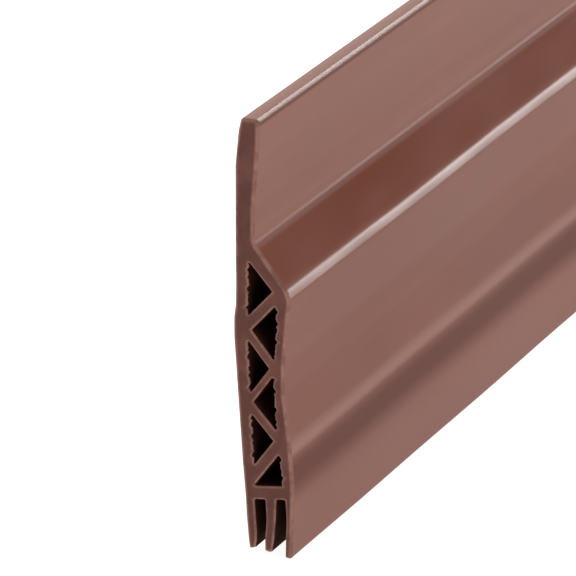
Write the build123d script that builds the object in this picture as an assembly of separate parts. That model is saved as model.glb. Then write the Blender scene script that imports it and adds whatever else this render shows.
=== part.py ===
from build123d import *
import os
from math import atan2, cos, degrees, hypot, radians, sin

# A stick-on door sweep: one flexible strip, cut to the width of a door, that is taped to the
# room side of the door and closes the gap below it. From top to bottom its section has a flat
# mounting flange, a sloping shoulder, a hollow body braced by diagonal webs, a base bar and
# three wiper fins. Double-sided tape under a release liner is on its back.
#
# Millimetres. +X runs along the strip, +Y points at the door and +Z is up. The origin is the
# middle of the liner's outer face. The section is drawn in (depth, level): depth is measured
# from the back of the hollow body towards the room, level from the lowest fin tip up.

# Driving dimensions
length = 990.0
flange_top = 50.0
flange_foot = 36.05
bar_top = 7.68
bar_underside = 6.12
bar_rise = 0.13

seat_depth = 0.2
wall_back = 1.34
flange_front = 2.42
waist_front = 6.0
skirt_front = 7.08

# Each web, from the shoulder down: level of its upper end, level of its lower end, thickness
webs = (
    (30.2, 26.5, 1.35),
    (25.8, 22.1, 1.1),
    (21.9, 18.0, 0.85),
    (17.3, 13.8, 1.1),
    (13.1, 9.25, 1.4),
)

tape_width = 15.0
tape_level = 36.3
tape_end_gap = 4.0
adhesive_thickness = 0.08
carrier_thickness = 0.3
liner_thickness = 0.1

fin_swing = 35.0
hinge_clearance = 0.04
# Each fin: name, depth at its root, depth at its tip, tip level, root and tip thickness
fins = (
    ("rear_fin", wall_back + 0.59, 2.2, 0.45, 1.18, 0.9),
    ("middle_fin", 4.44, 4.2, 0.4, 1.24, 0.94),
    ("front_fin", skirt_front - 0.46, 6.54, 0.0, 0.92, 0.72),
)

tape_stack = 2 * adhesive_thickness + carrier_thickness + liner_thickness
tape_length = length - 2 * tape_end_gap
reach = 20.0

section_plane = Plane(
    origin=(0, seat_depth - tape_stack, -tape_level), x_dir=(0, -1, 0), z_dir=(-1, 0, 0)
)


def bar_level(level, depth):
    """The bar is tilted: its level at this depth, from its level at the back."""
    return level + bar_rise * depth


def polygon(*points):
    return make_face(Polyline(*points, close=True))


def rounded(corners):
    """The face inside ((depth, level), corner radius) pairs."""
    points = [point for point, _ in corners]
    radii = [radius for _, radius in corners]
    return make_face(FilletPolyline(*points, radius=radii, close=True))


def strip(start, end, thickness):
    """A straight strip about the line from start to end, drawn past both ends."""
    run, rise = end[0] - start[0], end[1] - start[1]
    middle = Pos((start[0] + end[0]) / 2, (start[1] + end[1]) / 2)
    return middle * Rot(0, 0, degrees(atan2(rise, run))) * Rectangle(3 * hypot(run, rise), thickness)


def band(low, high):
    """Everything between two levels."""
    return polygon((-reach, low), (reach, low), (reach, high), (-reach, high))


def along(face, span=length):
    """The strip's piece with this section, centred along X."""
    return extrude(section_plane * face, amount=span / 2, both=True)


# Outside of the whole profile above the fins, up the back and down the front
outline = rounded(
    (
        ((wall_back, bar_level(bar_underside, wall_back)), 0),
        ((0.98, 10.5), 60),
        ((0.0, 25.0), 6),
        ((0.0, 27.2), 3),
        ((seat_depth, 28.7), 1),
        ((seat_depth, 44.6), 10),
        ((0.6, 48.6), 3),
        ((0.92, flange_top), 0.35),
        ((2.64, flange_top), 0.18),
        ((3.03, flange_top - 0.22), 0.09),
        ((2.98, 47.0), 12),
        ((flange_front, 39.6), 12),
        ((flange_front, flange_foot), 1),
        ((6.26, 31.1), 1.3),
        ((6.66, 30.0), 1),
        ((waist_front, 22.6), 8),
        ((waist_front, 19.0), 5),
        ((6.66, 13.9), 8),
        ((skirt_front, 8.9), 4),
        ((skirt_front, bar_level(bar_underside, skirt_front)), 0),
    )
)

# Hollow between the walls, before the webs divide it
cavity_top = (1.77, 33.93)
cavity_ridge = (4.95, 30.35)
cavity_foot_front = (5.84, bar_level(bar_top, 5.84))
cavity_foot_back = (2.5, bar_level(bar_top, 2.5))
cavity_bend = (1.62, 25.5)
cavity = polygon(
    cavity_top,
    cavity_ridge,
    (5.14, 27.0),
    (4.74, 21.2),
    (5.02, 16.0),
    cavity_foot_front,
    cavity_foot_back,
    cavity_bend,
)
shell = outline - cavity

# Seams between the zones of the shell, each across a wall
above_all = flange_top + reach
flange_seam = (flange_front, 36.7)
flange_zone = polygon(
    (-reach, cavity_top[1]),
    cavity_top,
    flange_seam,
    (reach, flange_seam[1]),
    (reach, above_all),
    (-reach, above_all),
)
shoulder_zone = polygon(
    cavity_top,
    flange_seam,
    (reach, flange_seam[1]),
    (reach, cavity_ridge[1]),
    cavity_ridge,
)
bar_zone = polygon(
    (-reach, bar_level(bar_top, -reach)),
    (reach, bar_level(bar_top, reach)),
    (reach, -reach),
    (-reach, -reach),
)
body_zone = band(-reach, cavity_top[1]) - shoulder_zone - bar_zone
middle_depth = (cavity_bend[0] + cavity_ridge[0]) / 2
behind = polygon(
    (-reach, -reach), (middle_depth, -reach), (middle_depth, above_all), (-reach, above_all)
)

parts = {
    "mounting_flange": along(shell & flange_zone),
    "shoulder_wall": along(shell & shoulder_zone),
    "rear_wall": along(shell & body_zone & behind),
    "front_wall": along((shell & body_zone) - behind),
}

# Diagonal webs zigzag down the hollow, from wall to wall. Each stays between the levels where it
# meets the web above and the web below, so that neighbours touch face to face.
node_depths = (cavity_ridge[0], 1.64, 4.76, 2.0, 5.25, 2.44)
node_levels = [(above[1] + below[0]) / 2 for above, below in zip(webs, webs[1:])]
node_levels = [flange_top, *node_levels, 0]
for index, (upper_level, lower_level, thickness) in enumerate(webs):
    start = (node_depths[index], upper_level)
    end = (node_depths[index + 1], lower_level)
    between_nodes = band(node_levels[index + 1], node_levels[index])
    web = strip(start, end, thickness) & cavity & between_nodes
    parts[f"brace_web_{index + 1}"] = along(web)


def fin_axis(depth, radius):
    """Hinge axis of a fin, far enough under the bar that its root clears the bar at full swing."""
    drop = radius * (sin(radians(fin_swing)) + bar_rise * cos(radians(fin_swing)))
    return depth, bar_level(bar_underside, depth) - drop


bar = outline & bar_zone
for name, root_depth, tip_depth, tip_level, root_thickness, tip_thickness in fins:
    radius = root_thickness / 2
    axis = fin_axis(root_depth, radius)
    tip_radius = tip_thickness / 2
    tip = (tip_depth, tip_level + tip_radius)
    blade = polygon(
        (axis[0] - radius, axis[1]),
        (axis[0] + radius, axis[1]),
        (tip[0] + tip_radius, tip[1]),
        (tip[0] - tip_radius, tip[1]),
    )
    head = Pos(*axis) * Circle(radius)
    toe = Pos(*tip) * Circle(tip_radius)
    parts[name] = along(blade + head + toe)
    bar -= Pos(*axis) * Circle(radius + hinge_clearance)
parts["base_bar"] = along(bar)

# Tape and liner, one layer on the other from the seat towards the door
layers = (
    ("tape_adhesive_inner", adhesive_thickness),
    ("tape_carrier", carrier_thickness),
    ("tape_adhesive_outer", adhesive_thickness),
    ("release_liner", liner_thickness),
)
depth = seat_depth
for name, thickness in layers:
    layer = Pos(depth - thickness / 2, tape_level) * Rectangle(thickness, tape_width)
    parts[name] = along(layer, tape_length)
    depth -= thickness

os.makedirs("parts", exist_ok=True)
for name, part in parts.items():
    export_step(part, f"parts/{name}.step")
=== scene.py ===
"""A stick-on door sweep standing on a white floor, seen close up at its cut end."""

import math

import bpy
import numpy as np
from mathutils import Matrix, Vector
from mathutils.geometry import delaunay_2d_cdt


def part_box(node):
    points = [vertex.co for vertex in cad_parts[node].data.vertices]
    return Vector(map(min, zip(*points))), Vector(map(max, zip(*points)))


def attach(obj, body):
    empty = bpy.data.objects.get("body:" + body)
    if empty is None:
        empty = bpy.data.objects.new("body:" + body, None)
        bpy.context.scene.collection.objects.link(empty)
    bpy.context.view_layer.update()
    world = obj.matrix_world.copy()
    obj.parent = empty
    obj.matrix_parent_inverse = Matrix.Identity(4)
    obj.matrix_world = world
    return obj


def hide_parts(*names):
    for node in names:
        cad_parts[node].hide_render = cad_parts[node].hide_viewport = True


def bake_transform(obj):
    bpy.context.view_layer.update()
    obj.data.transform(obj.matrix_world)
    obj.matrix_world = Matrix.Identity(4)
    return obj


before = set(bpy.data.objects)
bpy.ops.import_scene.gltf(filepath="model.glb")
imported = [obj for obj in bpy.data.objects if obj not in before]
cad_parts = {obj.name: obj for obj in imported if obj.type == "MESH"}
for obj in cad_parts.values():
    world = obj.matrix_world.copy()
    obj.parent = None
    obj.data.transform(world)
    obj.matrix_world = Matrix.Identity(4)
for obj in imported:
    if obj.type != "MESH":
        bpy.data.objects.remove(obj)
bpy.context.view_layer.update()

MM = 0.001
LEFT_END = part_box("base_bar")[0].x / MM
RIGHT_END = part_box("base_bar")[1].x / MM
BACK_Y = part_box("rear_wall")[1].y / MM
TIP_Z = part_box("front_fin")[0].z / MM

# The strip's section in millimetres, as (depth, level): depth from the back of the hollow body
# towards the room, level from the lowest fin tip up. It follows the CAD part's section.
FLANGE_TOP = 50.0
BAR_TOP = 7.68
BAR_UNDERSIDE = 6.12
BAR_RISE = 0.13
SEAT_DEPTH = 0.2
WALL_BACK = 1.34
FLANGE_FRONT = 2.42
WAIST_FRONT = 6.0
SKIRT_FRONT = 7.08
CAVITY_TOP = (1.77, 33.93)
CAVITY_RIDGE = (4.95, 30.35)
REAR_BEND = (0.98, 10.5)
RIDGE = (6.66, 30.0)
WAIST_TOP = (WAIST_FRONT, 22.6)
FLANGE_SEAM_LEVEL = 36.7
RIDGE_SEAM_LEVEL = 29.5

# Each web, from the shoulder down: level of its upper end, level of its lower end, thickness
WEBS = (
    (30.2, 26.5, 1.35),
    (25.8, 22.1, 1.1),
    (21.9, 18.0, 0.85),
    (17.3, 13.8, 1.1),
    (13.1, 9.25, 1.4),
)
NODE_DEPTHS = (CAVITY_RIDGE[0], 1.64, 4.76, 2.0, 5.25, 2.44)

# What a stretch of a section's outline is: outer skin, lining of a cell or slot, or a seam
SKIN, BORE, SEAM = 0, 1, 2
# A face's material is SKIN or BORE too, and on a cut end it is this one
CUT = 2

# Rounding of a cut end's edges, and the painted highlight line along them: how far in it is, and
# its width
EDGE_RADII = {SKIN: 0.42, BORE: 0.16}
HIGHLIGHT_INSETS = {SKIN: 0.18, BORE: 0.03}
HIGHLIGHT_WIDTH = 0.28

# Rounding of the section's inner corners, and the most degrees from one point to the next
CELL_RADIUS = 0.14
CELL_TURN = 50
SLOT_RADIUS = 0.22
SLOT_TURN = 30
WALL_BEND_RADIUS = 4

# Longest step along the outline, in millimetres
SKIN_STEP = 0.7
TOOTH_STEP = 0.22
WEB_STEP = 0.6

# The tape's layers and the liner: rounding of their section as a share of their thickness
LAYER_ROUNDING = 0.3
LAYER_TURN = 45
LAYER_STEP = 1.5
LAYER_RING_STEP = 9.7

# Faces that meet at more than this many degrees have a sharp edge between them
RUBBER_SHARP = 38
LAYER_SHARP = 50

# ---------------------------------------------------------------- lines in the section


def bar_level(level, depth):
    """The bar is tilted: its level at this depth, from its level at the back."""
    return level + BAR_RISE * depth


def on_bar(level, depth):
    """The point at this depth on the bar's top or underside, from that face's level."""
    return depth, bar_level(level, depth)


def meet(a, b, c, d):
    """Where the line through a and b crosses the line through c and d."""
    a, b, c, d = (np.array(p, float) for p in (a, b, c, d))
    (p, q), (r, s) = b - a, d - c
    t = ((c - a)[0] * s - (c - a)[1] * r) / (p * s - q * r)
    return tuple(a + t * (b - a))


def arc(before, corner, after, radius, turn_step=24):
    """Points of a rounded corner. Their number is odd, so that one is in the middle."""
    before, corner, after = (np.array(p[:2], float) for p in (before, corner, after))
    u = (before - corner) / np.linalg.norm(before - corner)
    v = (after - corner) / np.linalg.norm(after - corner)
    half = math.acos(np.clip(u @ v, -1, 1)) / 2
    turn = math.pi - 2 * half
    if radius <= 0 or turn < 1e-4:
        return [tuple(corner)]
    bisector = (u + v) / np.linalg.norm(u + v)
    centre = corner + bisector * radius / math.sin(half)
    side = math.copysign(1, u[0] * v[1] - u[1] * v[0])
    steps = 2 * max(1, math.ceil(math.degrees(turn) / turn_step))
    points = []
    for k in range(steps + 1):
        angle = side * turn * (0.5 - k / steps)
        c, s = math.cos(angle), math.sin(angle)
        x, y = -bisector * radius
        points.append((centre[0] + c * x - s * y, centre[1] + s * x + c * y))
    return points


def rounded(corners):
    """An open line through (depth, level, radius) corners, from the first to the last."""
    points = [tuple(corners[0][:2])]
    for before, corner, after in zip(corners, corners[1:], corners[2:]):
        points += arc(before, corner, after, corner[2])
    return points + [tuple(corners[-1][:2])]


def divided(points, step):
    """The same line with no stretch longer than step."""
    fine = [points[0]]
    for a, b in zip(points, points[1:]):
        a, b = np.array(a), np.array(b)
        count = max(1, math.ceil(np.linalg.norm(b - a) / step))
        fine += [tuple(a + (b - a) * k / count) for k in range(1, count + 1)]
    return fine


SEAM_STEPS = (0.02, 0.05, 0.1, 0.16, 0.22, 0.28, EDGE_RADII[SKIN])


def start_divided(line):
    """The same line with points close together where it starts."""
    a, b = np.array(line[0]), np.array(line[1])
    reach = np.linalg.norm(b - a)
    extra = [tuple(a + (b - a) * d / reach) for d in SEAM_STEPS if d < reach * 0.95]
    return [line[0]] + extra + line[1:]


def seam(points, free_end=False):
    """A line where two pieces are joined. It starts in the open, and may end there too."""
    fine = start_divided(divided(points, WEB_STEP))
    if free_end:
        fine = back(start_divided(back(fine)))
    return fine


def back(line):
    return line[::-1]


def middle(points):
    return points[len(points) // 2]


def first_half(points):
    return points[: len(points) // 2 + 1]


def second_half(points):
    return points[len(points) // 2 :]


def loop_of(*runs):
    """An anticlockwise closed loop from (line, kind) runs, each starting where one ends."""
    points, kinds = [], []
    for (line, kind), (following, _) in zip(runs, runs[1:] + runs[:1]):
        assert np.allclose(line[-1], following[0], atol=1e-6), (line[-1], following[0])
        points += line[:-1]
        kinds += [kind] * (len(line) - 1)
    points, kinds = np.array(points), np.array(kinds)
    x, y = points.T
    if np.sum(x * np.roll(y, -1) - y * np.roll(x, -1)) < 0:
        points, kinds = points[::-1], np.roll(kinds[::-1], -1)
    return points, kinds


# ---------------------------------------------------------------- cells between the webs

FOOT_FRONT = on_bar(BAR_TOP, 5.84)
FOOT_BACK = on_bar(BAR_TOP, 2.5)
REAR_LINE = (CAVITY_TOP, (1.62, 25.5), FOOT_BACK)
FRONT_LINE = (CAVITY_RIDGE, (5.14, 27.0), (4.74, 21.2), (5.02, 16.0), FOOT_FRONT)
LAST_CELL = len(WEBS)


def web_side(index, side):
    """Two points of a web's upper (side 1) or lower (side -1) face."""
    upper, lower, thickness = WEBS[index]
    a = np.array((NODE_DEPTHS[index], upper))
    b = np.array((NODE_DEPTHS[index + 1], lower))
    along = (b - a) / np.linalg.norm(b - a)
    across = np.array((-along[1], along[0]))
    across *= math.copysign(thickness / 2, across[1]) * side
    return a + across, b + across


def on_wall(wall, line):
    """Where a line meets the inner face of the front or rear wall."""
    for a, b in zip(wall, wall[1:]):
        point = meet(a, b, *line)
        if min(a[1], b[1]) - 1e-9 <= point[1] <= max(a[1], b[1]) + 1e-9:
            return point
    raise ValueError("the line misses the wall")


def along_wall(wall, start, end):
    """From start to end down or up a wall's inner face, round its bends."""
    low, high = sorted((start[1], end[1]))
    bends = [p for p in wall if low + 1e-6 < p[1] < high - 1e-6]
    if start[1] < end[1]:
        bends = back(bends)
    return [start, *bends, end]


def cell_wall(index):
    """The wall that a cell lies against. Cells take turns, the first against the rear wall."""
    return FRONT_LINE if index % 2 else REAR_LINE


def cell(index):
    """A cell's corners, the middles of its rounded corners, and its three sides."""
    wall = cell_wall(index)
    above = web_side(index - 1, -1) if index > 0 else (CAVITY_TOP, CAVITY_RIDGE)
    below = web_side(index, 1) if index < LAST_CELL else (FOOT_BACK, FOOT_FRONT)
    top = on_wall(wall, above) if index > 0 else CAVITY_TOP
    apex = meet(*above, *below)
    foot = on_wall(wall, below) if index < LAST_CELL else FOOT_FRONT
    wall_bends = along_wall(wall, foot, top)[1:-1]
    arcs = {
        "top": arc((wall_bends or [foot])[-1], top, apex, CELL_RADIUS, CELL_TURN),
        "apex": arc(top, apex, foot, CELL_RADIUS, CELL_TURN),
        "foot": arc(apex, foot, (wall_bends or [top])[0], CELL_RADIUS, CELL_TURN),
    }

    def side(start, end, bends=(), step=WEB_STEP):
        line = second_half(arcs[start])
        befores = [line[-1], *bends]
        afters = [*bends[1:], arcs[end][0]]
        for before, bend, after in zip(befores, bends, afters):
            line = line + arc(before, bend, after, WALL_BEND_RADIUS)
        return divided(line + first_half(arcs[end]), step)

    return {
        "corners": {"top": top, "apex": apex, "foot": foot},
        "mid": {corner: middle(points) for corner, points in arcs.items()},
        "upper": side("top", "apex"),
        "lower": side("apex", "foot"),
        "wall": side("foot", "top", wall_bends, TOOTH_STEP),
    }


cells = [cell(index) for index in range(LAST_CELL + 1)]

# Where two webs meet on a wall, between the ridge and the foot of the rear wall
nodes = [CAVITY_RIDGE]
for index, (above, below) in enumerate(zip(WEBS, WEBS[1:])):
    level = (above[1] + below[0]) / 2
    nodes.append(on_wall(cell_wall(index), ((0, level), (1, level))))
nodes.append(FOOT_BACK)

apex_seams = [
    seam([own["mid"]["apex"], own["corners"]["apex"], node]) for own, node in zip(cells, nodes)
]
apex_seams[LAST_CELL] = seam([cells[LAST_CELL]["mid"]["apex"], FOOT_BACK])
upper_seams, lower_seams = [], []
for index in range(len(WEBS)):
    own, below = cells[index], cells[index + 1]
    run = along_wall(cell_wall(index + 1), below["corners"]["top"], nodes[index])
    upper_seams.append(seam([below["mid"]["top"], *run]))
    run = along_wall(cell_wall(index), own["corners"]["foot"], nodes[index + 1])
    lower_seams.append(seam([own["mid"]["foot"], *run]))

# ---------------------------------------------------------------- outside of the section

REAR_FOOT = on_bar(BAR_UNDERSIDE, WALL_BACK)
FRONT_FOOT = on_bar(BAR_UNDERSIDE, SKIRT_FRONT)
BAR_LINE = (FOOT_BACK, FOOT_FRONT)
RIDGE_SEAM_LINE = ((0, RIDGE_SEAM_LEVEL), (1, RIDGE_SEAM_LEVEL))

seam_rear_bar = meet(REAR_FOOT, REAR_BEND, *BAR_LINE)
seam_front_bar = meet(FRONT_FOOT, (SKIRT_FRONT, 8.4), *BAR_LINE)
seam_rear_flange = (SEAT_DEPTH, CAVITY_TOP[1])
seam_front_flange = (FLANGE_FRONT, FLANGE_SEAM_LEVEL)
seam_front_ridge = meet(RIDGE, WAIST_TOP, *RIDGE_SEAM_LINE)


def skin(*corners):
    return divided(rounded(corners), SKIN_STEP)


rear_skin = skin(
    seam_rear_bar,
    (*REAR_BEND, 60),
    (0.0, 25.0, 6),
    (0.0, 27.2, 3),
    (SEAT_DEPTH, 28.7, 1.4),
    seam_rear_flange,
)
flange_skin = skin(
    seam_rear_flange,
    (SEAT_DEPTH, 44.6, 10),
    (0.6, 48.6, 3),
    (0.92, FLANGE_TOP, 0.35),
    (2.64, FLANGE_TOP, 0.18),
    (3.03, FLANGE_TOP - 0.22, 0.09),
    (2.98, 47.0, 12),
    (FLANGE_FRONT, 39.6, 12),
    seam_front_flange,
)
shoulder_skin = skin(
    seam_front_flange,
    (FLANGE_FRONT, 36.05, 1.0),
    (6.26, 31.1, 1.3),
    (*RIDGE, 1.0),
    seam_front_ridge,
)
front_skin = skin(
    seam_front_ridge,
    (*WAIST_TOP, 8),
    (WAIST_FRONT, 19.0, 5),
    (6.66, 13.9, 8),
    (SKIRT_FRONT, 8.9, 4),
    seam_front_bar,
)

# ---------------------------------------------------------------- fins and the slots between

# Each fin from the bar down its door side and up its room side
FIN_SHAPES = {
    "rear_fin": (
        REAR_FOOT,
        (1.42, 4.5, 12),
        (1.66, 1.7, 6),
        (1.82, 0.42, 0.2),
        (2.56, 0.8, 0.28),
        (2.8, 1.7, 6),
        (2.62, 4.0, 15),
        on_bar(BAR_UNDERSIDE, 2.46),
    ),
    "middle_fin": (
        on_bar(BAR_UNDERSIDE, 3.76),
        (3.91, 4.2, 10),
        (3.72, 1.9, 8),
        (3.74, 0.4, 0.3),
        (4.52, 0.4, 0.35),
        (4.78, 2.0, 8),
        (4.98, 4.4, 15),
        on_bar(BAR_UNDERSIDE, 5.06),
    ),
    "front_fin": (
        on_bar(BAR_UNDERSIDE, 6.14),
        (6.28, 4.6, 12),
        (6.2, 2.2, 15),
        (6.17, 0.0, 0.34),
        (6.85, 0.0, 0.3),
        (6.93, 2.2, 15),
        (7.04, 5.0, 15),
        FRONT_FOOT,
    ),
}
FIN_NAMES = tuple(FIN_SHAPES)
LAST_FIN = len(FIN_NAMES) - 1
TOE_HEIGHT = 0.1
# Top of the stretch where a fin flexes; a point at a fin's root is worked out at this level
BEND_TOP = 6.1

# The two rounded upper corners of each slot
slots = []
for left, right in zip(FIN_NAMES, FIN_NAMES[1:]):
    a, b = FIN_SHAPES[left][-1], FIN_SHAPES[right][0]
    left_arc = arc(FIN_SHAPES[left][-2], a, b, SLOT_RADIUS, SLOT_TURN)
    right_arc = arc(a, b, FIN_SHAPES[right][1], SLOT_RADIUS, SLOT_TURN)
    slots.append({"left": left_arc, "right": right_arc})

fin_lines = {}
fin_seams = {}
for index, (name, shape) in enumerate(FIN_SHAPES.items()):
    line = rounded(shape)
    root = [shape[0], shape[-1]]
    if index > 0:
        corner = slots[index - 1]["right"]
        line = second_half(corner) + line[1:]
        root = [middle(corner), *root]
    if index < LAST_FIN:
        corner = slots[index]["left"]
        line = line[:-1] + first_half(corner)
        root = [*root, middle(corner)]
    fin_lines[name] = divided(line, SKIN_STEP)
    fin_seams[name] = seam(root, free_end=True)

# ---------------------------------------------------------------- outline of every zone

flange_rear = seam([seam_rear_flange, CAVITY_TOP])
flange_front = seam([seam_front_flange, CAVITY_TOP])
cell_top = seam([cells[0]["mid"]["top"], CAVITY_TOP])
ridge_seam = seam([seam_front_ridge, CAVITY_RIDGE])
bar_rear = seam([seam_rear_bar, FOOT_BACK])
bar_front = seam([seam_front_bar, FOOT_FRONT, cells[LAST_CELL]["mid"]["foot"]], free_end=True)


def wall_runs(cell_indices):
    """Seams and cell sides down the inside of a wall, past the cells that lie against it."""
    runs = []
    for k in cell_indices:
        if k > 0:
            runs.append((back(upper_seams[k - 1]), SEAM))
        runs.append((back(cells[k]["wall"]), BORE))
        if k < LAST_CELL:
            runs.append((lower_seams[k], SEAM))
    return runs


loops = {
    "mounting_flange": loop_of(
        (back(flange_rear), SEAM),
        (flange_skin, SKIN),
        (flange_front, SEAM),
    ),
    "shoulder_wall": loop_of(
        (back(apex_seams[0]), SEAM),
        (back(cells[0]["upper"]), BORE),
        (cell_top, SEAM),
        (back(flange_front), SEAM),
        (shoulder_skin, SKIN),
        (ridge_seam, SEAM),
    ),
    "rear_wall": loop_of(
        (back(cell_top), SEAM),
        *wall_runs((0, 2, 4)),
        (back(bar_rear), SEAM),
        (rear_skin, SKIN),
        (flange_rear, SEAM),
    ),
    "front_wall": loop_of(
        *wall_runs((1, 3, 5)),
        (back(bar_front), SEAM),
        (back(front_skin), SKIN),
        (ridge_seam, SEAM),
    ),
}
for k in range(len(WEBS)):
    loops[f"brace_web_{k + 1}"] = loop_of(
        (apex_seams[k], SEAM),
        (back(upper_seams[k]), SEAM),
        (cells[k + 1]["upper"], BORE),
        (apex_seams[k + 1], SEAM),
        (back(lower_seams[k]), SEAM),
        (back(cells[k]["lower"]), BORE),
    )
underside = [(back(fin_seams[FIN_NAMES[LAST_FIN]]), SEAM)]
for slot, name in reversed(list(zip(slots, FIN_NAMES))):
    slot_top = divided(second_half(slot["left"]) + first_half(slot["right"]), WEB_STEP)
    underside += [(back(slot_top), BORE), (back(fin_seams[name]), SEAM)]
loops["base_bar"] = loop_of(
    (back(apex_seams[LAST_CELL]), SEAM),
    (cells[LAST_CELL]["lower"], BORE),
    (back(bar_front), SEAM),
    (divided([seam_front_bar, FRONT_FOOT], SKIN_STEP), SKIN),
    *underside,
    (divided([REAR_FOOT, seam_rear_bar], SKIN_STEP), SKIN),
    (bar_rear, SEAM),
)
for index, name in enumerate(FIN_NAMES):
    line = fin_lines[name]
    lowest = min(level for _, level in line)
    toe = [k for k, (_, level) in enumerate(line) if level < lowest + TOE_HEIGHT]
    loops[name] = loop_of(
        (line[: toe[0] + 1], BORE if index > 0 else SKIN),
        (line[toe[0] : toe[-1] + 1], SKIN),
        (line[toe[-1] :], BORE if index < LAST_FIN else SKIN),
        (back(fin_seams[name]), SEAM),
    )

# ---------------------------------------------------------------- from the section to meshes


def smoothstep(low, high, value):
    t = np.clip((value - low) / (high - low), 0, 1)
    return t * t * (3 - 2 * t)


def wander(x, depth, level):
    """How far the soft strip leans towards the room here: it never lies perfectly straight."""
    from_end = x - LEFT_END
    slow = 0.07 * np.sin(from_end / 19 + 0.4) + 0.05 * np.sin(from_end / 7.3 + level / 11)
    ripple = 0.035 * np.sin(from_end / 2.9 + 1.1) * np.exp(-(((level - 31.6) / 1.4) ** 2))
    calm = 1 - smoothstep(33, 37, level)
    return (slow * smoothstep(0, 30, from_end) + ripple) * calm


def teeth(level, seed):
    """Raggedness of the cut along a cell's wall, where the blade has torn the rubber."""
    waves = ((1.9, 0.06), (1.13, 0.075), (0.71, 0.06), (0.49, 0.04))
    return sum(a * math.sin(math.tau * level / w + seed * (w + 2.3)) for w, a in waves)


def ring_positions():
    """X of every ring, close together near the cut ends and in the part seen from nearby."""
    near = (0.5, 0.8, 1.3, 2.0, 3.2, 5.0)
    from_left = (*near, *np.arange(7.5, 150, 2.5), *np.linspace(155, RIGHT_END - LEFT_END - 10, 72))
    return [LEFT_END + d for d in from_left] + [RIGHT_END - d for d in back(near)]


def distances(points, starts, ends):
    """Distance from each point to the nearest of the segments."""
    run = ends - starts
    length_squared = np.maximum((run**2).sum(1), 1e-12)
    to_start = points[:, None, :] - starts[None]
    t = np.clip((to_start * run).sum(2) / length_squared, 0, 1)
    return np.linalg.norm(to_start - t[..., None] * run, axis=2).min(1)


def inside(points, loop):
    """Which points are inside the loop, by counting the edges to one side of each."""
    x, y = points.T[:, :, None]
    x0, y0 = loop.T
    x1, y1 = np.roll(loop, -1, 0).T
    crosses = (y0 > y) != (y1 > y)
    with np.errstate(divide="ignore", invalid="ignore"):
        at = x0 + (y - y0) * (x1 - x0) / (y1 - y0)
    return (crosses & (x < at)).sum(1) % 2 == 1


def ragged(loop, kinds, seed):
    """The loop at a cut end, with torn teeth along the straight sides of the cells."""
    torn = loop.copy()
    run = np.roll(loop, -1, 0) - np.roll(loop, 1, 0)
    run /= np.linalg.norm(run, axis=1)[:, None]
    upright = (np.abs(run[:, 1]) > 0.96) & (loop[:, 1] > FOOT_BACK[1])
    lining = (kinds == BORE) & (np.roll(kinds, 1) == BORE) & upright
    across = np.stack([run[:, 1], -run[:, 0]], 1)
    for k in np.nonzero(lining)[0]:
        torn[k] += across[k] * teeth(loop[k, 1], seed)
    return torn


def free_segments(seed):
    """Start and end points of every open edge at a cut end, for the skin and for the bores."""
    shapes = [(ragged(loop, kinds, seed), kinds) for loop, kinds in loops.values()]
    segments = {}
    for kind in (SKIN, BORE):
        starts = [loop[kinds == kind] for loop, kinds in shapes]
        ends = [np.roll(loop, -1, 0)[kinds == kind] for loop, kinds in shapes]
        segments[kind] = np.concatenate(starts), np.concatenate(ends)
    return segments


RINGS = ring_positions()
NEAR_SEED, FAR_SEED = 1.0, 4.0
# Each cut end: X, seed of its teeth, its open edges, and which way along X is into the strip
CUT_ENDS = (
    (LEFT_END, NEAR_SEED, free_segments(NEAR_SEED), 1),
    (RIGHT_END, FAR_SEED, free_segments(FAR_SEED), -1),
)
# How far into the strip the torn teeth fade out
TEETH_REACH = 1.4
# Least distance of an inner point of a cut end from other edges, from seams and from the rest
CLOSEST_TO_OTHER_EDGE = 0.03
CLOSEST_TO_SEAM = 0.035
CLOSEST_POINTS = 0.025


def edge_points(loop, kinds, free):
    """Points inside a cut end, in rows along its open edges, for the rounding there."""
    following = np.roll(loop, -1, 0)
    run = following - loop
    inward = np.stack([-run[:, 1], run[:, 0]], 1) / np.linalg.norm(run, axis=1)[:, None]
    seams = kinds == SEAM
    candidates = []
    for kind, radius in EDGE_RADII.items():
        edges = kinds == kind
        if not edges.any():
            continue
        # Rows on the rounding, a quarter of its turn apart, and two on the flat past it
        insets = [radius * (1 - math.cos(math.radians(a))) for a in (22.5, 45, 67.5, 90)]
        for inset in (*insets, radius + 0.07, radius + 0.15):
            for share in (0.0, 0.5):
                points = loop[edges] + run[edges] * share + inward[edges] * inset
                keep = inside(points, loop) & (distances(points, *free[kind]) > inset * 0.97)
                keep &= distances(points, *free[BORE - kind]) > CLOSEST_TO_OTHER_EDGE
                if seams.any():
                    keep &= distances(points, loop[seams], following[seams]) > CLOSEST_TO_SEAM
                candidates += list(points[keep])
    kept = []
    for point in candidates:
        if not kept or np.min(np.sum((np.array(kept) - point) ** 2, 1)) > CLOSEST_POINTS**2:
            kept.append(point)
    return kept


def end_face(loop, kinds, free):
    """A cut end: its points, the loop point that each one is or -1, how far each is set back
    into the strip, how much painted highlight it gets, and the triangles."""
    coordinates = [Vector(p) for p in (*loop, *edge_points(loop, kinds, free))]
    result = delaunay_2d_cdt(coordinates, [], [list(range(len(loop)))], 1, 1e-7)
    points = np.array([tuple(p) for p in result[0]])
    source = [next((i for i in ids if i < len(loop)), -1) for ids in result[3]]
    setback = np.zeros(len(points))
    edge_highlight = np.zeros(len(points))
    for kind, radius in EDGE_RADII.items():
        near = distances(points, *free[kind])
        slope = np.clip(1 - near / radius, 0, 1)
        setback = np.maximum(setback, radius * (1 - np.sqrt(1 - slope**2)))
        from_highlight_line = np.abs(near - HIGHLIGHT_INSETS[kind])
        edge_highlight = np.maximum(edge_highlight, 1 - smoothstep(0.2 * HIGHLIGHT_WIDTH, HIGHLIGHT_WIDTH, from_highlight_line))
    return points, source, setback, edge_highlight, [list(triangle) for triangle in result[2]]


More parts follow.
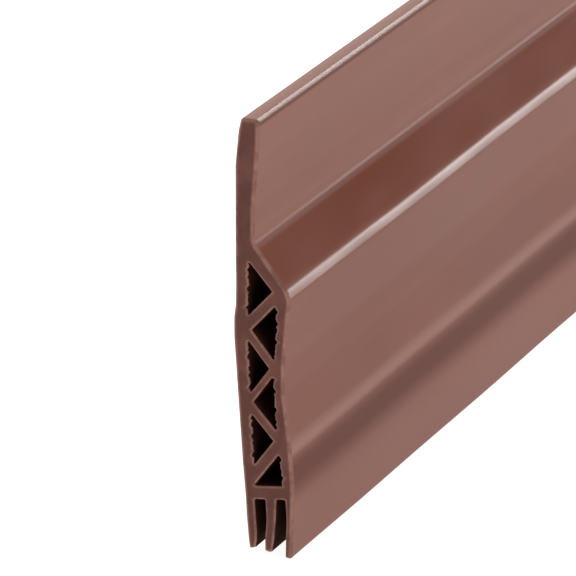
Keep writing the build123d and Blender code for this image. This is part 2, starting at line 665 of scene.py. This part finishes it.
def place(x, section):
    """Positions in metres, in the CAD's frame, of section points at this X or these."""
    depth, level = section.T
    y = BACK_Y - depth - wander(x, depth, level)
    return np.stack([x * MM, y * MM, (TIP_Z + level) * MM], 1)


def sleeve(first, second):
    """Faces between two rings with equally many points."""
    count = len(first)
    following = [(k + 1) % count for k in range(count)]
    return [[first[k], first[n], second[n], second[k]] for k, n in enumerate(following)]


def add_piece(name, mesh, sharp_angle):
    mesh.shade_smooth()
    mesh.set_sharp_from_angle(angle=math.radians(sharp_angle))
    piece = bpy.data.objects.new(name, mesh)
    bpy.context.scene.collection.objects.link(piece)
    return piece


def extruded(name, loop, kinds):
    """A piece of the strip with this section, from one cut end to the other."""
    count = len(loop)
    vertices, edge_painted_highlight, faces, looks = [], [], [], []
    torn_loops, caps = [], []
    for x, seed, free, inward in CUT_ENDS:
        torn = ragged(loop, kinds, seed)
        points, source, setback, edge_highlight, triangles = end_face(torn, kinds, free)
        base = len(vertices)
        vertices += list(place(x + setback * inward, points))
        edge_painted_highlight += list(edge_highlight)
        where = {s: base + i for i, s in enumerate(source) if s >= 0}
        caps.append([where[k] for k in range(count)])
        faces += [[base + i for i in triangle][::-inward] for triangle in triangles]
        looks += [CUT] * len(triangles)
        torn_loops.append(torn)
    torn_near, torn_far = torn_loops
    rings = [caps[0]]
    for x in RINGS:
        near_fade = 1 - smoothstep(0, TEETH_REACH, x - LEFT_END)
        far_fade = 1 - smoothstep(0, TEETH_REACH, RIGHT_END - x)
        section = loop + (torn_near - loop) * near_fade + (torn_far - loop) * far_fade
        rings.append(list(range(len(vertices), len(vertices) + count)))
        vertices += list(place(np.full(count, x), section))
        edge_painted_highlight += [0.0] * count
    rings.append(caps[1])
    for first, second in zip(rings, rings[1:]):
        faces += sleeve(first, second)
        looks += [BORE if kind == BORE else SKIN for kind in kinds]
    mesh = bpy.data.meshes.new(name)
    mesh.from_pydata(vertices, [], faces)
    for material in RUBBER_LOOKS:
        mesh.materials.append(material)
    mesh.polygons.foreach_set("material_index", looks)
    # How much painted highlight each point of the cut ends gets
    mesh.attributes.new("edge_painted_highlight", "FLOAT", "POINT").data.foreach_set("value", edge_painted_highlight)
    return add_piece(name, mesh, RUBBER_SHARP)


def layer(name, node, material):
    """One thin layer of the tape or its liner, with softly uneven long edges."""
    low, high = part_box(node)
    start, end = low.x / MM, high.x / MM
    back_depth, front_depth = BACK_Y - high.y / MM, BACK_Y - low.y / MM
    foot_level, top_level = low.z / MM - TIP_Z, high.z / MM - TIP_Z
    middle_level = (foot_level + top_level) / 2
    radius = (high.y - low.y) / MM * LAYER_ROUNDING
    corners = (
        (back_depth, foot_level),
        (front_depth, foot_level),
        (front_depth, top_level),
        (back_depth, top_level),
    )
    line = []
    for k in range(4):
        line += arc(corners[k - 1], corners[k], corners[(k + 1) % 4], radius, LAYER_TURN)
    line.append(line[0])
    loop, _ = loop_of((divided(line, LAYER_STEP), SKIN))
    count = len(loop)
    positions = (start, start + 1, *np.arange(start + 6, end - 5, LAYER_RING_STEP), end - 1, end)
    vertices = []
    for x in positions:
        ripple = 0.048 * math.sin(x / 7.0) + 0.032 * math.sin(x / 2.3 + 1)
        inset = 0.015 if x in (start, end) else 0.0
        for depth, level in loop:
            side = math.copysign(1, level - middle_level)
            edge = abs(level - middle_level) / (top_level - middle_level)
            uneven_level = level + side * (ripple - inset) * edge**8
            vertices.append((x * MM, (BACK_Y - depth) * MM, (TIP_Z + uneven_level) * MM))
    rings = [list(range(k * count, (k + 1) * count)) for k in range(len(positions))]
    faces = []
    for first, second in zip(rings, rings[1:]):
        faces += sleeve(first, second)
    faces += [back(rings[0]), rings[-1]]
    mesh = bpy.data.meshes.new(name)
    mesh.from_pydata(vertices, [], faces)
    mesh.materials.append(material)
    return add_piece(name, mesh, LAYER_SHARP)


# ---------------------------------------------------------------- materials


class Nodes:
    """A short way to write a material's node tree."""

    MIX_COLOURS = (6, 7)
    MIX_RESULT = 2

    def __init__(self, name):
        self.material = bpy.data.materials.new(name)
        self.material.use_nodes = True
        self.tree = self.material.node_tree
        self.shader = self.tree.nodes["Principled BSDF"]

    def add(self, kind, **settings):
        node = self.tree.nodes.new(kind)
        for key, value in settings.items():
            setattr(node, key, value)
        return node

    def put(self, value, socket):
        if isinstance(value, bpy.types.NodeSocket):
            self.tree.links.new(value, socket)
        else:
            socket.default_value = value

    def place(self, scale):
        """Position on the piece in millimetres, stretched along each axis by 1 / scale."""
        coordinates = self.add("ShaderNodeTexCoord")
        mapping = self.add("ShaderNodeMapping")
        self.put(coordinates.outputs["Object"], mapping.inputs["Vector"])
        mapping.inputs["Scale"].default_value = [s / MM for s in scale]
        return mapping.outputs["Vector"]

    def section(self):
        """Distance from the near cut end, Y and level, in millimetres."""
        split = self.add("ShaderNodeSeparateXYZ")
        self.put(self.place((1, 1, 1)), split.inputs["Vector"])
        x, y, z = split.outputs
        return self.math("SUBTRACT", x, LEFT_END), y, self.math("SUBTRACT", z, TIP_Z)

    def noise(self, scale, detail=3.0, roughness=0.55):
        node = self.add("ShaderNodeTexNoise")
        self.put(self.place(scale), node.inputs["Vector"])
        node.inputs["Scale"].default_value = 1.0
        node.inputs["Detail"].default_value = detail
        node.inputs["Roughness"].default_value = roughness
        return node.outputs["Fac"]

    def attribute(self, name):
        return self.add("ShaderNodeAttribute", attribute_name=name).outputs["Fac"]

    def math(self, operation, *values):
        node = self.add("ShaderNodeMath", operation=operation)
        for value, socket in zip(values, node.inputs):
            self.put(value, socket)
        return node.outputs[0]

    def times(self, first, *others):
        for other in others:
            first = self.math("MULTIPLY", first, other)
        return first

    def between(self, value, low, high, first=0.0, second=1.0):
        """Goes smoothly from first to second as value goes from low to high."""
        node = self.add("ShaderNodeMapRange", interpolation_type="SMOOTHSTEP")
        keys = ("Value", "From Min", "From Max", "To Min", "To Max")
        for key, put in zip(keys, (value, low, high, first, second)):
            self.put(put, node.inputs[key])
        return node.outputs["Result"]

    def zone(self, value, rise, fall):
        """1 between the two (low, high) ranges, and 0 below the first and above the second."""
        return self.times(self.between(value, *rise), self.between(value, *fall, 1.0, 0.0))

    def mix(self, factor, *colours):
        node = self.add("ShaderNodeMix", data_type="RGBA", blend_type="MIX")
        self.put(factor, node.inputs["Factor"])
        for colour, index in zip(colours, self.MIX_COLOURS):
            self.put(colour, node.inputs[index])
        return node.outputs[self.MIX_RESULT]

    def bump(self, height, strength, distance, normal=None):
        node = self.add("ShaderNodeBump")
        self.put(height, node.inputs["Height"])
        node.inputs["Strength"].default_value = strength
        node.inputs["Distance"].default_value = distance
        if normal is not None:
            self.put(normal, node.inputs["Normal"])
        return node.outputs["Normal"]

    def finish(self, **sockets):
        for name, value in sockets.items():
            self.put(value, self.shader.inputs[name.replace("_", " ")])
        return self.material


# Tone of the painted light on the flange, the fins and the top face
PAINTED_LIGHT = (0.34, 0.17, 0.13, 1)
# Tone of the painted highlight along the edges of the cut ends
EDGE_HIGHLIGHT_TONE = (0.36, 0.18, 0.14, 1)


def skin_rubber():
    """Satin brown rubber: faint extrusion lines, cloudy tone, and painted shade and painted
    highlights along its creases, shoulder and lip.
    """
    n = Nodes("brown_rubber_skin")
    from_end, y, level = n.section()
    room_side = n.between(y, BACK_Y - 1.7, BACK_Y - 2.1)

    cloud = n.noise((0.03, 0.09, 0.09), 4.0)
    streak = n.noise((0.006, 0.9, 0.9))
    tone = n.mix(n.between(cloud, 0.3, 0.7), (0.145, 0.043, 0.025, 1), (0.167, 0.050, 0.029, 1))
    tone = n.mix(n.between(streak, 0.35, 0.75, 0.0, 0.35), tone, (0.135, 0.041, 0.025, 1))

    # Painted shade under the lower crease: the colour is painted darker there and clears slowly
    # downwards, and the skin there is duller
    crease = n.between(from_end, 8, 40, 12.38, 12.63)
    below = n.math("SUBTRACT", crease, level)
    shade = n.times(n.zone(below, (-0.2, 1.9), (3.0, 6.2)), room_side)
    tone = n.mix(n.times(shade, 0.8), tone, (0.074, 0.0105, 0.003, 1))

    # Painted shade: the sloping shoulder is painted darker and redder, for the dimmer reflection it
    # shows
    slope = n.times(n.zone(level, (30.9, 31.6), (35.1, 35.9)), room_side)
    tone = n.mix(n.times(slope, 0.9), tone, (0.130, 0.026, 0.009, 1))

    # Painted light: the flange is painted paler, above all at its foot and near its top, and so is
    # the bottom with the fins
    tone = n.mix(n.between(level, 35.8, 36.2, 0.0, 0.11), tone, PAINTED_LIGHT)
    # A soft painted highlight along the flange's foot, just above the upper crease
    foot = n.times(n.zone(level, (36.0, 36.4), (36.7, 39.0)), room_side)
    tone = n.mix(n.times(foot, 0.1), tone, PAINTED_LIGHT)
    tone = n.mix(n.between(level, 5.0, 8.0, 0.08, 0.0), tone, PAINTED_LIGHT)
    tone = n.mix(n.between(level, 41.0, 48.0, 0.0, 0.05), tone, PAINTED_LIGHT)

    # Painted light on the top face, strongest at its back, and a painted shade line under its front
    # lip
    top = n.times(n.between(level, 49.85, 49.95), n.between(y, BACK_Y - 1, BACK_Y - 2.5, 0.6, 0.3))
    tone = n.mix(top, tone, PAINTED_LIGHT)
    lip_painted_shade = n.times(n.zone(level, (49.2, 49.35), (49.6, 49.72)), room_side)
    tone = n.mix(n.times(lip_painted_shade, 0.9), tone, (0.075, 0.010, 0.002, 1))

    # A painted highlight line along the lower crease, and painted highlights along the edges of the
    # cut ends
    line = n.times(n.zone(below, (-2.0, -0.3), (-0.1, 0.8)), room_side)
    tone = n.mix(n.times(line, 0.25), tone, (0.4, 0.24, 0.2, 1))
    tone = n.mix(n.times(n.attribute("edge_painted_highlight"), 0.3), tone, EDGE_HIGHLIGHT_TONE)

    fillet = n.zone(level, (35.3, 35.6), (36.3, 36.6))
    roughness = n.math("MULTIPLY_ADD", cloud, 0.10, 0.26)
    roughness = n.math("MULTIPLY_ADD", shade, 0.15, roughness)
    roughness = n.math("MULTIPLY_ADD", fillet, 0.16, roughness)
    lines = n.bump(n.noise((0.01, 2.2, 2.2)), 0.05, 0.00005)
    grain = n.bump(n.noise((3.5, 3.5, 3.5)), 0.06, 0.00004, lines)
    return n.finish(
        Base_Color=tone, Roughness=roughness, Normal=grain, Specular_IOR_Level=0.1, IOR=1.5
    )


def cut_rubber():
    """The cut face: duller, finely grained, darker on the fins, and paler along its edges with a
    painted highlight.
    """
    n = Nodes("brown_rubber_cut")
    _, _, level = n.section()
    grain = n.noise((6.0, 6.0, 6.0), 2.0)
    blotch = n.noise((0.35, 0.35, 0.35), 2.0)
    tone = n.mix(n.between(grain, 0.3, 0.7), (0.099, 0.033, 0.024, 1), (0.130, 0.044, 0.032, 1))
    tone = n.mix(n.between(blotch, 0.35, 0.7, 0.0, 0.5), tone, (0.195, 0.073, 0.055, 1))
    tone = n.mix(n.between(level, 7.8, 9.5, 0.3, 0.0), tone, (0.076, 0.025, 0.018, 1))
    uneven = n.between(n.noise((0.9, 0.9, 0.9), 2.0), 0.3, 0.65, 0.3, 0.7)
    # Painted highlight along the rounded edges, unevenly strong
    tone = n.mix(n.times(n.attribute("edge_painted_highlight"), uneven), tone, EDGE_HIGHLIGHT_TONE)
    return n.finish(
        Base_Color=tone,
        Roughness=n.math("MULTIPLY_ADD", grain, 0.15, 0.5),
        Normal=n.bump(grain, 0.25, 0.00003),
        Specular_IOR_Level=0.2,
    )


def lining_painted_shade():
    """Rubber inside the cells and between the fins, painted nearly black as painted shade for these
    deep recesses; matt.
    """
    n = Nodes("brown_rubber_lining_painted_shade")
    cloud = n.noise((0.08, 0.8, 0.8))
    tone = n.mix(n.between(cloud, 0.3, 0.7), (0.032, 0.011, 0.007, 1), (0.050, 0.018, 0.012, 1))
    return n.finish(
        Base_Color=tone,
        Roughness=0.9,
        Normal=n.bump(n.noise((0.05, 1.5, 1.5), 2.0), 0.2, 0.00005),
        Specular_IOR_Level=0.04,
    )


def adhesive():
    """Clear acrylic adhesive, slightly yellow, with small trapped bubbles."""
    n = Nodes("clear_adhesive")
    bubbles = n.between(n.noise((1.4, 1.4, 1.4), 4.0), 0.62, 0.72)
    return n.finish(
        Base_Color=n.mix(bubbles, (0.47, 0.46, 0.38, 1), (0.58, 0.57, 0.52, 1)),
        Roughness=n.math("MULTIPLY_ADD", bubbles, 0.2, 0.16),
        Specular_IOR_Level=0.5,
    )


def foam():
    """White closed-cell foam of the tape's core."""
    n = Nodes("tape_foam")
    pores = n.noise((9.0, 9.0, 9.0))
    tone = n.mix(n.between(pores, 0.35, 0.65), (0.50, 0.50, 0.48, 1), (0.62, 0.62, 0.60, 1))
    return n.finish(
        Base_Color=tone,
        Roughness=0.85,
        Normal=n.bump(pores, 0.5, 0.00006),
        Specular_IOR_Level=0.2,
    )


def paper():
    """Siliconised release paper: off-white fibres, faint creases, a soft shine."""
    n = Nodes("release_paper")
    fibres = n.noise((1.6, 5.0, 5.0), 5.0, 0.7)
    cloud = n.noise((0.05, 0.2, 0.2))
    tone = n.mix(n.between(fibres, 0.35, 0.7), (0.50, 0.44, 0.32, 1), (0.60, 0.54, 0.42, 1))
    tone = n.mix(n.between(cloud, 0.4, 0.75, 0.0, 0.4), tone, (0.46, 0.40, 0.29, 1))
    creases = n.between(n.noise((0.35, 0.12, 0.12), 1.0), 0.47, 0.53)
    return n.finish(
        Base_Color=tone,
        Roughness=n.math("MULTIPLY_ADD", cloud, 0.15, 0.32),
        Normal=n.bump(creases, 0.25, 0.0001, n.bump(fibres, 0.3, 0.00004)),
        Specular_IOR_Level=0.45,
    )


# In the order of SKIN, BORE and CUT
RUBBER_LOOKS = (skin_rubber(), lining_painted_shade(), cut_rubber())

# ---------------------------------------------------------------- the strip

for node, (loop, kinds) in loops.items():
    piece = extruded(f"{node}_rubber", loop, kinds)
    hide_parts(node)
    if node in FIN_SHAPES:
        low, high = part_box(node)
        root_y = low.y / 2 + high.y / 2
        root = (0, root_y, (TIP_Z + BEND_TOP) * MM)
        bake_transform(piece)
    else:
        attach(piece, "profile")

# ---------------------------------------------------------------- tape and liner

# Each layer: its node, what it is, its material, slot and body
LAYERS = (
    ("tape_adhesive_inner", "film", adhesive(), "adhesive", "profile"),
    ("tape_carrier", "foam", foam(), "tape_foam", "profile"),
    ("tape_adhesive_outer", "film", adhesive(), "adhesive", "profile"),
    ("release_liner", "paper", paper(), "liner_paper", "release_liner"),
)
for node, look, material, slot_name, body in LAYERS:
    piece = layer(f"{node}_{look}", node, material)
    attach(piece, body)
    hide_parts(node)

# ---------------------------------------------------------------- camera

AZIMUTH = math.radians(-66.15)
ELEVATION = math.radians(20)
CAMERA_DISTANCE = 0.7064
AIM = Vector((LEFT_END + 3.83, BACK_Y - 4.81, TIP_Z + 30.02)) * MM

scene = bpy.context.scene
scene.view_settings.view_transform = "Standard"

look = Vector(
    (
        -math.sin(AZIMUTH) * math.cos(ELEVATION),
        math.cos(AZIMUTH) * math.cos(ELEVATION),
        -math.sin(ELEVATION),
    )
)
camera_data = bpy.data.cameras.new("camera")
camera_data.lens = 408.1
camera_data.sensor_width = 36.0
camera_data.clip_start = 0.01
camera_data.clip_end = 200.0
camera = bpy.data.objects.new("camera", camera_data)
camera.location = AIM - look * CAMERA_DISTANCE
camera.rotation_euler = look.to_track_quat("-Z", "Y").to_euler()
scene.collection.objects.link(camera)
scene.camera = camera

# ---------------------------------------------------------------- floor and light

# A round white floor, with a low white wall far away round it
FLOOR_RADIUS = 32.0
WALL_HEIGHT = 3.0
FLOOR_SIDES = 64
FLOOR_GAP = 0.00005

turns = [math.tau * k / FLOOR_SIDES for k in range(FLOOR_SIDES)]
circle = [(FLOOR_RADIUS * math.cos(t), FLOOR_RADIUS * math.sin(t)) for t in turns]
rim_points = [(x, y, z) for z in (0, WALL_HEIGHT) for x, y in circle]
floor_rim = list(range(FLOOR_SIDES))
wall_rim = list(range(FLOOR_SIDES, 2 * FLOOR_SIDES))
floor_faces = [floor_rim] + [back(face) for face in sleeve(floor_rim, wall_rim)]
floor_mesh = bpy.data.meshes.new("floor")
floor_mesh.from_pydata(rim_points, [], floor_faces)
floor = bpy.data.objects.new("floor", floor_mesh)
floor.location.z = TIP_Z * MM - FLOOR_GAP
scene.collection.objects.link(floor)
floor_paint = Nodes("white_floor").finish(
    Base_Color=(0.3, 0.3, 0.3, 1),
    Roughness=0.9,
    Specular_IOR_Level=0.1,
    Emission_Color=(1, 1, 1, 1),
    Emission_Strength=0.93,
)
floor_mesh.materials.append(floor_paint)

world = bpy.data.worlds.new("studio")
world.use_nodes = True
world.node_tree.nodes["Background"].inputs["Color"].default_value = (1, 1, 1, 1)
world.node_tree.nodes["Background"].inputs["Strength"].default_value = 0.3
scene.world = world

LIGHT_DISTANCE = 3.0
# Each soft rectangular light: its direction from the near cut end, width, height and radiance
SOFTBOXES = {
    "front_light": ((-0.15, -0.9, 0.45), 2.0, 1.6, 3.1),
    "back_light": ((0.861, 0.42, 0.35), 1.2, 0.8, 1.4),
    "overhead_light": ((0.3, 0.75, 0.6), 2.0, 2.0, 7.0),
    "top_light": ((0.861, -0.03, 0.5), 0.7, 0.5, 26.0),
    "ridge_light": ((0.861, -0.507, 0.05), 1.4, 0.3, 28.0),
}
for name, (direction, width, height, radiance) in SOFTBOXES.items():
    toward = Vector(direction).normalized()
    light_data = bpy.data.lights.new(name, "AREA")
    light_data.shape = "RECTANGLE"
    light_data.size = width
    light_data.size_y = height
    light_data.energy = radiance * math.pi * width * height
    light = bpy.data.objects.new(name, light_data)
    light.location = Vector((LEFT_END * MM, 0, 0)) + toward * LIGHT_DISTANCE
    light.rotation_euler = (-toward).to_track_quat("-Z", "Y").to_euler()
    light.visible_camera = False
    scene.collection.objects.link(light)
